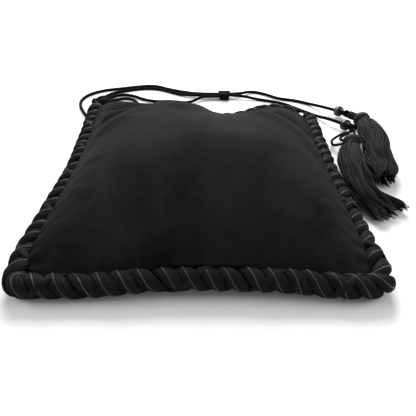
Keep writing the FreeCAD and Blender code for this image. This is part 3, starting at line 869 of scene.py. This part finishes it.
def slipKnot():
    # one cord wrapped round the strands, clear of them: across and up both run as the
    # square root of cos and sin, which squares the turn's corners
    low, high = (np.array(p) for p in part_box("slip_knot"))
    centre = (low + high) / 2
    t = np.linspace(0, 1, 420)
    angle = tau * slipKnotWrap["turns"] * t
    turnY = np.sign(np.cos(angle)) * np.sqrt(np.abs(np.cos(angle)))
    turnZ = np.sign(np.sin(angle)) * np.sqrt(np.abs(np.sin(angle)))
    x = low[0] + 0.7 * mm + t * (high[0] - low[0] - 1.4 * mm)
    belly = 1 + 0.06 * np.sin(t * np.pi)
    line = np.stack([x, centre[1] + slipKnotWrap["across"] * turnY * belly,
                     centre[2] + slipKnotWrap["up"] * turnZ], 1)
    line = smoothed(resample(line, 0.25 * mm), 0.25 * mm, 0.25 * mm)
    return tubeMesh("slipKnot", line, slipKnotWrap["radius"], 12, satin, up=(1, 0, 0))


finished(slipKnot(), "slip_knot", "cord", "slip_knot")


# beads: eight flat sides, with sloped shoulders cut to the bore

def strandEnd(name):
    points = np.array(routes[name]) * mm
    way = points[-1] - points[-2]
    return points[-1], way / np.linalg.norm(way)


beadSize = {"half": 3.1 * mm, "radius": 3.75 * mm, "bore": 1.25 * mm, "sides": 8}


def beadMesh(number, name):
    end, way = strandEnd(name)
    half, radius, bore, sides = beadSize.values()
    profile = [(-half, bore), (-half, radius * 0.56), (-half * 0.5, radius * 0.94),
               (0, radius), (half * 0.5, radius * 0.94), (half, radius * 0.56),
               (half, bore), (0, bore)]
    points = spin(profile, sides, end - way * 3.6 * mm, end)
    return meshFromArrays(f"bead{number}", points, gridFaces(len(profile), sides, True, True),
                          beadGlass, smooth=False)


beads = [finished(beadMesh(1, "strandA"), "bead_1", "bead", "bead_1"),
         finished(beadMesh(2, "strandB"), "bead_2", "bead", "bead_2")]


# tassels: wrapped neck or loops, a ribbed head, a wrapped band and a skirt of threads

tassels = {
    1: {
        "stations": [(104.6, 62.0, 5.8, 4.2, 3.9), (104.8, 57.5, 6.0, 6.0, 4.9),
                     (104.6, 49, 6.0, 7.8, 5.3), (103.6, 38, 6.0, 8.2, 5.4),
                     (100.8, 24, 5.8, 8.3, 5.4), (97.6, 10, 5.4, 8.2, 5.0),
                     (95.6, -1, 5.0, 7.8, 4.6), (95.4, -6.5, 4.8, 7.6, 4.2)],
        "threads": 420, "seed": 5, "locks": 13, "wave": 1.5 * mm, "spread": 0.75,
        "sweep": (0, 0, 0),
    },
    2: {
        "stations": [(86.8, 29.0, 6.0, 4.2, 3.9), (85.2, 24, 6.2, 6.0, 5.0),
                     (82.6, 16, 6.2, 7.3, 5.4), (81.0, 5, 6.0, 7.6, 5.4),
                     (80.4, -6, 5.4, 7.4, 4.9), (81.4, -16, 4.6, 8.8, 4.0),
                     (84.6, -25, 3.6, 11.4, 3.0), (89.0, -32, 2.8, 13.6, 2.2)],
        "threads": 420, "seed": 9, "locks": 17, "wave": 1.1 * mm, "spread": 0.9,
        "sweep": (3 * mm, 0, 0),
    },
}


def ellipseTube(name, path, wide, tall, sides, material):
    # like a tube, but wide across and tall upwards
    normal, side = frames(path)[1:]
    angle = np.arange(sides) * tau / sides
    points = (path[:, None] + (tall[:, None] * np.cos(angle))[..., None] * normal[:, None]
              + (wide[:, None] * np.sin(angle))[..., None] * side[:, None])
    return closedTube(name, points, arcLengths(path), material)


def tasselCore(number):
    # the skirt's dark middle, so that no light shows through the threads
    stations = np.array(tassels[number]["stations"]) * mm
    path = smoothed(resample(stations[:-1, :3], 1 * mm), 4 * mm, 1 * mm)
    at = np.linspace(0, 1, len(path))
    known = arcLengths(stations[:-1, :3])
    wide = np.interp(at, known / known[-1], stations[:-1, 3]) * 0.72
    tall = np.interp(at, known / known[-1], stations[:-1, 4]) * 0.72
    end = np.sqrt(np.clip((1 - at) * 8, 0.02, 1))
    return ellipseTube(f"tasselCore{number}", path, wide * end, tall * end, 20, tasselSilk)


def tasselSkirt(number):
    # each thread keeps its place (a, b) in a unit disc, scaled by the skirt's width and
    # height there; further down it is drawn to its lock's middle and waves with the lock
    shape = tassels[number]
    rng = np.random.default_rng(shape["seed"])
    stations = np.array(shape["stations"]) * mm
    rows, count = 34, shape["threads"]
    path = smoothed(resample(stations[:, :3], 0.8 * mm), 4 * mm, 0.8 * mm)
    u = np.linspace(0, 1, rows)
    along = arcLengths(path) / arcLengths(path)[-1]
    known = arcLengths(stations[:, :3]) / arcLengths(stations[:, :3])[-1]
    reach = 1 - rng.uniform(0, 0.05, (count, 1)) - 0.05 * rng.random((count, 1)) ** 4
    cutWith = rng.integers(0, shape["locks"], count)       # threads that end at one length
    reach -= rng.uniform(0, 0.06, shape["locks"])[cutWith][:, None]
    at = u[None] * reach
    centre = np.stack([np.interp(at, along, path[:, k]) for k in range(3)], -1)
    side = frames(path)[2]
    side = np.stack([np.interp(at, along, side[:, k]) for k in range(3)], -1)
    wide = np.interp(at, known, stations[:, 3])
    tall = np.interp(at, known, stations[:, 4])
    turn = rng.uniform(0, tau, count)
    far = np.sqrt(rng.uniform(0.35, 1, count))
    a, b = far * np.cos(turn), far * np.sin(turn)
    lockTurn = np.arange(shape["locks"]) * 2.39996
    lockFar = np.sqrt((np.arange(shape["locks"]) + 0.5) / shape["locks"]) * 0.86
    order = np.argsort(np.argsort(np.arctan2(b, a) + 0.15 * rng.standard_normal(count)))
    lockOrder = np.argsort(np.arctan2(lockFar * np.sin(lockTurn), lockFar * np.cos(lockTurn)))
    lock = lockOrder[(order * shape["locks"]) // count]
    gather = shape["spread"] * smoothStep(u)[None] * 0.55
    lockA, lockB = (lockFar * np.cos(lockTurn))[lock], (lockFar * np.sin(lockTurn))[lock]
    placeA = a[:, None] * (1 - gather) + lockA[:, None] * gather
    placeB = b[:, None] * (1 - gather) + lockB[:, None] * gather
    phase = rng.uniform(0, tau, shape["locks"])[lock][:, None]
    quick = rng.uniform(1.2, 2.4, shape["locks"])[lock][:, None]
    wave = shape["wave"] * smoothStep(at * 1.2) * np.sin(tau * quick * at + phase)
    own = 0.35 * mm * at * np.sin(tau * 3 * at + turn[:, None] * 5)
    offset = (wide * placeA + wave + own)[..., None] * side
    offset[..., 2] += tall * placeB + 0.5 * wave * np.cos(phase) + own * 0.5
    line = centre + offset + (at ** 3)[..., None] * np.array(shape["sweep"])
    line[..., 2] = np.maximum(line[..., 2], 0.45 * mm)
    flow = np.gradient(line, axis=1)
    flow /= np.linalg.norm(flow, axis=-1, keepdims=True)
    across = np.cross(flow, (0, 0, 1.0))
    across /= np.linalg.norm(across, axis=-1, keepdims=True)
    lift = np.cross(across, flow)
    thin = (0.27 * mm * (1 - 0.35 * u))[None, :, None, None]
    corner = np.arange(3) * tau / 3
    points = (line[:, :, None] + thin * (np.cos(corner)[:, None] * lift[:, :, None]
                                         + np.sin(corner)[:, None] * across[:, :, None]))
    cell = gridFaces(rows, 3, closeColumns=True)[:, ::-1]
    quads = (cell[None] + (np.arange(count) * rows * 3)[:, None, None]).reshape(-1, 4)
    first = np.arange(count)[:, None] * rows * 3
    tips = np.concatenate([first + [0, 1, 2], first + (rows - 1) * 3 + [2, 1, 0]])
    shade = rng.uniform(0, 40, count)
    uv = np.stack(np.broadcast_arrays((at * 6)[:, :, None], shade[:, None, None]
                                      + np.zeros((1, 1, 3))), -1).reshape(-1, 2)
    return meshFromArrays(f"tasselSkirt{number}", points, quads, tasselSilk, tips, uv)


tasselTop = {
    "ball": 5.1 * mm,             # the head's radius
    "yarns": 20,                  # ribs round it
    "yarnDepth": 0.035,
    "bandTurns": 4.2,
    "bandLength": 3.2 * mm,
    "bandAt": 4.15 * mm,          # from the neck's middle to the band cord's middle
    "bandCord": 0.45 * mm,
}


def tasselHead(number):
    # a ball of silk with a rib for each yarn: r = R sin(a), drawn in at the band
    ball, sides = tasselTop["ball"], 60
    head = middle(f"tassel_head_{number}")
    down = middle(f"tassel_band_{number}") - head
    down /= np.linalg.norm(down)
    a = np.linspace(0.0, 0.80 * np.pi, 22)
    profile = np.stack([-ball * np.cos(a) * 1.05, ball * np.maximum(np.sin(a), 0.12)], 1)
    points = spin(profile, sides, head, head + down)
    ribs = 1 + tasselTop["yarnDepth"] * np.cos(np.arange(sides) * tau / sides
                                               * tasselTop["yarns"])
    axis = head + profile[:, :1, None] * down
    points = axis + (points - axis) * ribs[None, :, None]
    return closedTube(f"tasselHead{number}", points[:, ::-1], np.linspace(0, 0.01, len(a)),
                      tasselSilk, tasselTop["yarns"]), down


def tasselBand(number, down):
    # a few turns of one fine cord round the neck under the head
    t = np.linspace(0, 1, 200)
    axis = middle(f"tassel_band_{number}")
    across = np.cross(down, (0, 0, 1.0))
    across /= np.linalg.norm(across)
    upward = np.cross(across, down)
    angle = (tau * tasselTop["bandTurns"] * t)[:, None]
    line = (axis + (t - 0.5)[:, None] * tasselTop["bandLength"] * down
            + tasselTop["bandAt"] * (np.cos(angle) * across + np.sin(angle) * upward))
    return tubeMesh(f"tasselBand{number}", line, tasselTop["bandCord"], 8, tasselSilk,
                    up=tuple(down))


def looseLoop(name, points):
    # a cord 1.6 mm thick, rounded at the points it goes through
    line = smoothed(resample(np.array(points) * mm, 0.5 * mm), 2.2 * mm, 0.5 * mm)
    return tubeMesh(name, line, 0.8 * mm, 8, satin, up=(0.1, 0.2, 1))


loops = {
    1: [[(98.6, 75.9, 4.6), (101.4, 71.6, 5.4), (103.6, 66.6, 6.2)],
        [(99.4, 76.2, 4.2), (102.8, 72.6, 5.0), (104.6, 67.0, 5.9)]],
    2: [[(95.6, 54.0, 4.4), (91.0, 49.5, 4.2), (85.6, 45.0, 4.0), (83.4, 40.4, 4.2),
         (86.8, 35.8, 6.4)],
        [(95.6, 53.4, 3.7), (87.4, 50.2, 3.2), (79.6, 43.6, 2.4), (78.6, 36.0, 2.6),
         (83.6, 33.6, 5.4)],
        [(96.0, 53.6, 4.8), (94.2, 47.0, 5.4), (91.4, 41.0, 6.2), (89.6, 36.6, 6.8)]],
}


def tasselNeck():
    # the first tassel's loop is wrapped close: eight turns stand out as ripples
    along = np.linspace(0, 8.4 * mm, 40)
    radius = 2.45 * mm * (1 + 0.07 * np.cos(tau * 8 * along / along[-1]))
    points = spin(np.stack([along, radius], 1), 24, (99.6 * mm, 75.2 * mm, 4.8 * mm),
                  (103.2 * mm, 67.6 * mm, 5.8 * mm))
    return closedTube("tasselNeck1", points[:, ::-1], along, tasselSilk)


finished(tasselNeck(), "tassel_1", "tassel")
for number in (1, 2):
    body = f"tassel_{number}"
    head, down = tasselHead(number)
    finished(head, body, "tassel", f"tassel_head_{number}")
    finished(tasselBand(number, down), body, "tassel", f"tassel_band_{number}")
    finished(tasselCore(number), body, "tassel")
    finished(tasselSkirt(number), body, "tassel", f"tassel_skirt_{number}")
    for index, points in enumerate(loops[number]):
        loop = finished(looseLoop(f"tasselLoop{number}Turn{index + 1}", points), body, "cord")
        if index == 0:
            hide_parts(f"tassel_loop_{number}")
print("knots, beads and tassels ready")


# floor, light and camera

def stageAndLight():
    floorMaterial, _, shader = newMaterial("paleFloor", Roughness=0.8)
    shader.inputs["Base Color"].default_value = (0.9, 0.9, 0.9, 1)
    half = 3.0                    # the floor reaches this far each way
    floor = meshFromArrays("floor", [(-half, -half, 0), (half, -half, 0), (half, half, 0),
                                     (-half, half, 0)], [(0, 1, 2, 3)], floorMaterial)
    world = bpy.data.worlds.new("studio")
    world.use_nodes = True
    background = world.node_tree.nodes["Background"]
    background.inputs["Color"].default_value = (1, 1, 1, 1)
    background.inputs["Strength"].default_value = 0.36
    bpy.context.scene.world = world
    lamps = [
        ("backSoftbox", (0.0, 0.95, 0.62), 0.8, 26),         # place, width and watts
        ("leftSoftbox", (-0.85, 0.0, 0.5), 0.6, 4),
        ("rightSoftbox", (0.85, 0.0, 0.5), 0.6, 4),
    ]
    for name, spot, width, power in lamps:
        light = bpy.data.lights.new(name, "AREA")
        light.size = width
        light.energy = power
        lamp = bpy.data.objects.new(name, light)
        lamp.location = spot
        lamp.rotation_euler = Vector(spot).to_track_quat("Z", "Y").to_euler()  # faces the bag
        bpy.context.scene.collection.objects.link(lamp)


viewFrom = {
    "place": (4.3 * mm, -176.2 * mm, 117.75 * mm),
    "downwards": 37.3,            # degrees below the horizon
    "lens": 34.6,                 # on a 36 mm wide sensor
}


def camera():
    data = bpy.data.cameras.new("camera")
    data.lens = viewFrom["lens"]
    data.sensor_width = 36
    data.clip_start = 0.01
    holder = bpy.data.objects.new("camera", data)
    holder.location = viewFrom["place"]
    holder.rotation_euler = Euler((math.radians(90 - viewFrom["downwards"]), 0, 0))
    bpy.context.scene.collection.objects.link(holder)
    bpy.context.scene.camera = holder
    bpy.context.scene.view_settings.view_transform = "Standard"


stageAndLight()
camera()
print("stage ready")
